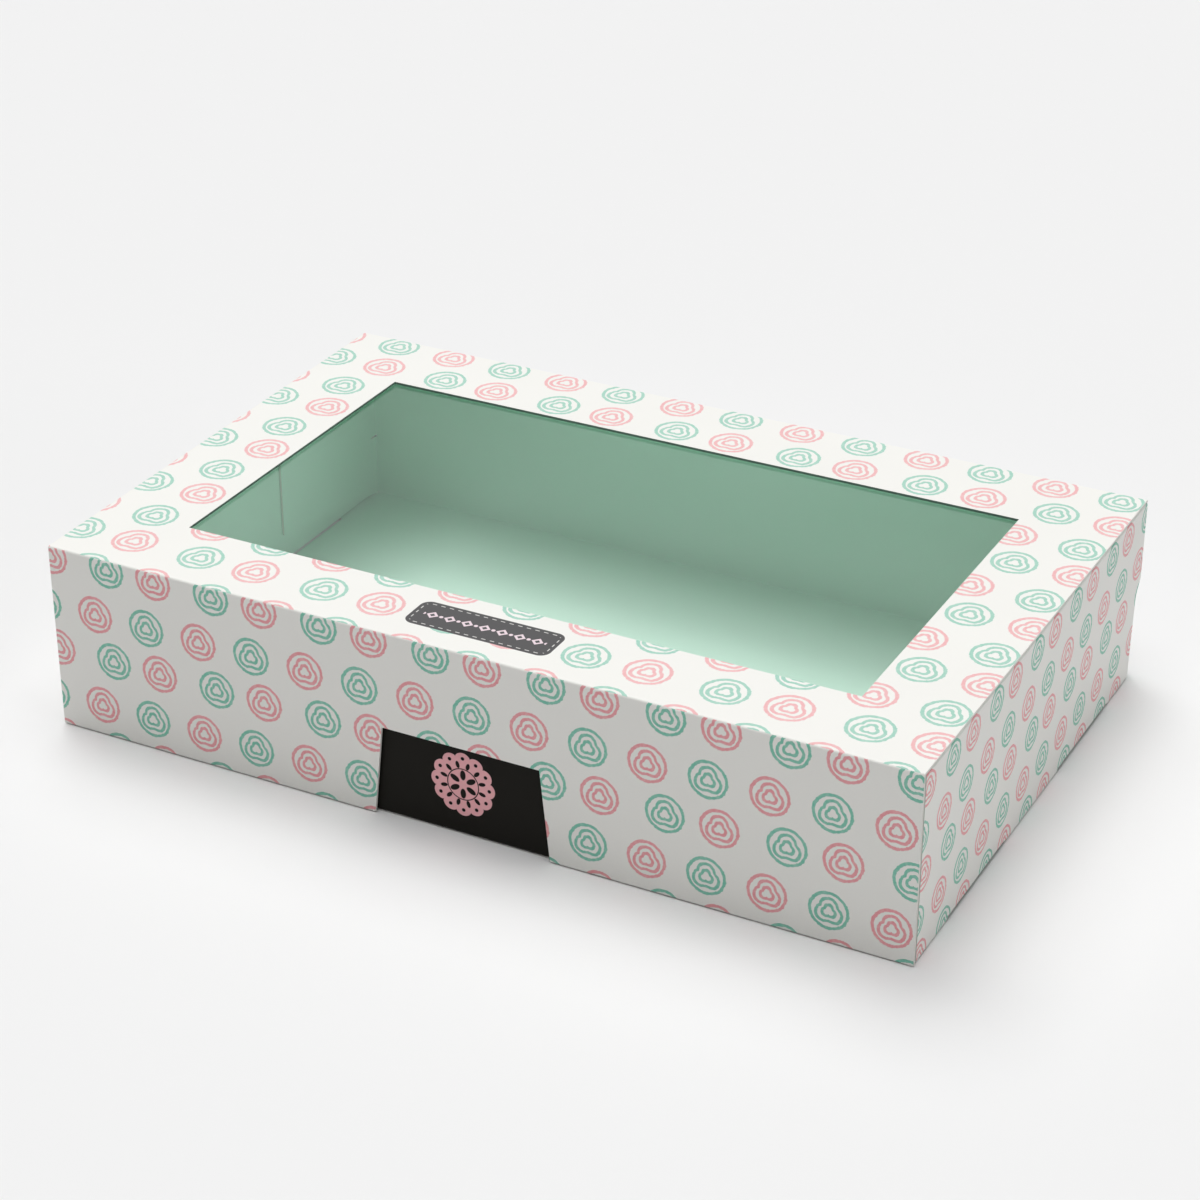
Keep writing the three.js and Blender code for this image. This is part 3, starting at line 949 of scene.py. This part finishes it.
for name, strip, away, bodies, from_wall, slot, zone in (
    ("back_crease", back_crease, 1, ("tray", "lid"), True, "tray_board", back_zone),
    ("front_crease", front_crease, -1, ("lid", "front_flap"), False, "flap_board", front_zone),
):
    face_outwards(strip, ((0, away * BACK, TOP - SEAM), (0, away, 0)))
    lay_print(strip, zone)
    piece = make_board(name, strip, (
        (lid_print, mint_board, pale_edge),
        (front_print, mint_board, pale_edge),
        (white_board, mint_board, pale_edge),
    ), CREASED)
    on_lid = (0, away * (BACK - LID_BEND) * MM, TOP * MM)
    on_wall = (0, away * BACK * MM, (TOP - WALL_BEND) * MM)
    start, end = (on_wall, on_lid) if from_wall else (on_lid, on_wall)
    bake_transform(piece)

# %% [markdown]
# ## The window film
# The window is closed by a clear film, glued flat under the lid and a little slack in the middle.
# Soft ripples catch the light. Clear film shows mostly at a grazing angle, so its cover follows
# a Fresnel node: nearly nothing straight on, a faint mirror along the surface.

# %% The film's material
film_material = bpy.data.materials.new("clear film")
film_material.use_nodes = True
tree = film_material.node_tree
shader = tree.nodes["Principled BSDF"]
shader.inputs["Base Color"].default_value = (0.95, 0.97, 0.97, 1)
shader.inputs["Metallic"].default_value = 1.0
fresnel = tree.nodes.new("ShaderNodeFresnel")
fresnel.inputs["IOR"].default_value = 1.45
FILM_COVER = 0.12
where = tree.nodes.new("ShaderNodeTexCoord").outputs["Object"]
haze = noise(tree, where, scale=18.0, detail=3.0, dimensions="3D")
cover = calc(tree, "MULTIPLY", fresnel.outputs["Fac"], FILM_COVER)
cover = calc(tree, "MULTIPLY", cover, calc(tree, "MULTIPLY_ADD", haze, 0.3, 0.85))
feed(tree, cover, shader.inputs["Alpha"])
feed(tree, calc(tree, "MULTIPLY_ADD", haze, 0.06, 0.03), shader.inputs["Roughness"])
bump = tree.nodes.new("ShaderNodeBump")
bump.inputs["Strength"].default_value = 0.3
bump.inputs["Distance"].default_value = 0.0004
ripples = noise(tree, where, scale=25.0, detail=1.0, dimensions="3D")
feed(tree, ripples, bump.inputs["Height"])
feed(tree, bump.outputs["Normal"], shader.inputs["Normal"])
print("film material:", film_material.name, "with a cover of", FILM_COVER, "at a grazing angle")

# %% Make the film
FILM_X = 149.5
FILM_FRONT = -87.5
FILM_BACK = 85.5
FILM_TOP = 76.45
FILM_THICKNESS = 0.25
SLACK_BORDER = 30.0     # the film is taut at the window's edge and slack this far in
SLACK = 0.35


def ease(distance):
    part = min(1.0, max(0.0, distance / SLACK_BORDER))
    return part * part * (3 - 2 * part)


film = flat_panel(-FILM_X, FILM_X, FILM_FRONT, FILM_BACK, FILM_TOP, columns=60, rows=40)
# the slack film sags in two waves of about 150 millimetres, each bent by a longer one
for vert in film.verts:
    x, y, z = vert.co
    slack = ease(WINDOW_X - abs(x)) * ease(min(WINDOW_BACK - y, y - WINDOW_FRONT))
    ripple = math.sin(x / 23 + math.sin(y / 31)) * math.sin(y / 27 + 0.6 * math.sin(x / 41)) - 1.2
    vert.co.z += SLACK * slack * ripple
face_outwards(film, ((0, 0, FILM_TOP), (0, 0, 1)))
lay_print(film, lambda middle, normal: 0)
film_zones = ((film_material, film_material, film_material),)
film_piece = make_board("window_film_sheet", film, film_zones, FILM_THICKNESS)
for polygon in film_piece.data.polygons:
    polygon.use_smooth = True
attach(film_piece, "lid")
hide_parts("window_film")

# %% [markdown]
# ## Studio
# The box stands on a plain pale floor in soft light. Four broad suns share the work: a key from
# behind on the left throws a soft shadow to the right, one overhead and one from the front reach
# into the box, and a low one from the right lifts that wall. The camera sees a brighter sky than
# the light that falls on the box, so the background is pale and nothing clips.

# %% The floor
FLOOR_RADIUS = 8.0
FLOOR_DROP = 0.0002     # metres: the base doesn't share its plane with the floor
FLOOR_GREY = 0.855

floor_mesh = bmesh.new()
bmesh.ops.create_circle(floor_mesh, cap_ends=True, segments=96, radius=FLOOR_RADIUS,
                        matrix=Matrix.Translation((0, 0, -FLOOR_DROP)))
mesh = bpy.data.meshes.new("studio_floor")
floor_mesh.to_mesh(mesh)
floor_mesh.free()
floor = bpy.data.objects.new("studio_floor", mesh)
bpy.context.scene.collection.objects.link(floor)
floor_material = bpy.data.materials.new("studio floor")
floor_material.use_nodes = True
floor_shader = floor_material.node_tree.nodes["Principled BSDF"]
floor_shader.inputs["Base Color"].default_value = (FLOOR_GREY, FLOOR_GREY, FLOOR_GREY, 1)
floor_shader.inputs["Roughness"].default_value = 0.9
floor_shader.inputs["Specular IOR Level"].default_value = 0.0
mesh.materials.append(floor_material)
print("floor, radius in metres:", FLOOR_RADIUS)

# %% Sun and sky
SOFT_LIGHTS = (
    # name, watts per square metre, compass angle from the front, height above the floor, softness
    ("key from the back left", 1.15, 225, 60, 36),
    ("light overhead", 1.62, 0, 90, 50),
    ("light from the front", 0.36, 0, 60, 40),
    ("low fill from the right", 0.36, 90, 30, 40),
)


def from_angles(around, above):
    flat = math.cos(above)
    return Vector((math.sin(around) * flat, -math.cos(around) * flat, math.sin(above)))


for name, strength, compass, height, softness in SOFT_LIGHTS:
    light = bpy.data.lights.new(name, "SUN")
    light.energy = strength
    light.angle = math.radians(softness)
    lamp = bpy.data.objects.new(name, light)
    bpy.context.scene.collection.objects.link(lamp)
    towards = from_angles(math.radians(compass), math.radians(height))
    lamp.rotation_euler = towards.to_track_quat("Z", "Y").to_euler()

world = bpy.data.worlds.new("studio sky")
bpy.context.scene.world = world
world.use_nodes = True
tree = world.node_tree
sky = tree.nodes["Background"]
sky.inputs["Color"].default_value = (1, 1, 1, 1)
rays = tree.nodes.new("ShaderNodeLightPath").outputs
seen = calc(tree, "MAXIMUM", calc(tree, "MAXIMUM", rays["Is Camera Ray"], rays["Is Glossy Ray"]),
            rays["Is Transmission Ray"])
SKY_LIGHT = 0.05
SKY_SEEN = 0.895
strength = calc(tree, "MULTIPLY_ADD", seen, SKY_SEEN - SKY_LIGHT, SKY_LIGHT)
feed(tree, strength, sky.inputs["Strength"])
print("suns:", len(SOFT_LIGHTS), "sky seen at", SKY_SEEN, "and lighting at", SKY_LIGHT)

# %% [markdown]
# ## Camera
# The camera was found from the corners of the box in the photograph: where it stands, how it is
# turned and how long its lens is. Looking back along its axis gives the rotation.

# %% The camera
azimuth = math.radians(27.487)
elevation = math.radians(28.274)
back_along = from_angles(azimuth, elevation)
camera_data = bpy.data.cameras.new("camera")
camera_data.sensor_width = 36
camera_data.lens = 91.01
camera_data.clip_end = 100
camera = bpy.data.objects.new("camera", camera_data)
bpy.context.scene.collection.objects.link(camera)
camera.location = (0.47731, -0.92267, 0.60241)
camera.rotation_euler = (-back_along).to_track_quat("-Z", "Y").to_euler()
bpy.context.scene.camera = camera
bpy.context.scene.view_settings.view_transform = "Standard"
print("camera, metres from the box:", round(camera.location.length, 3))
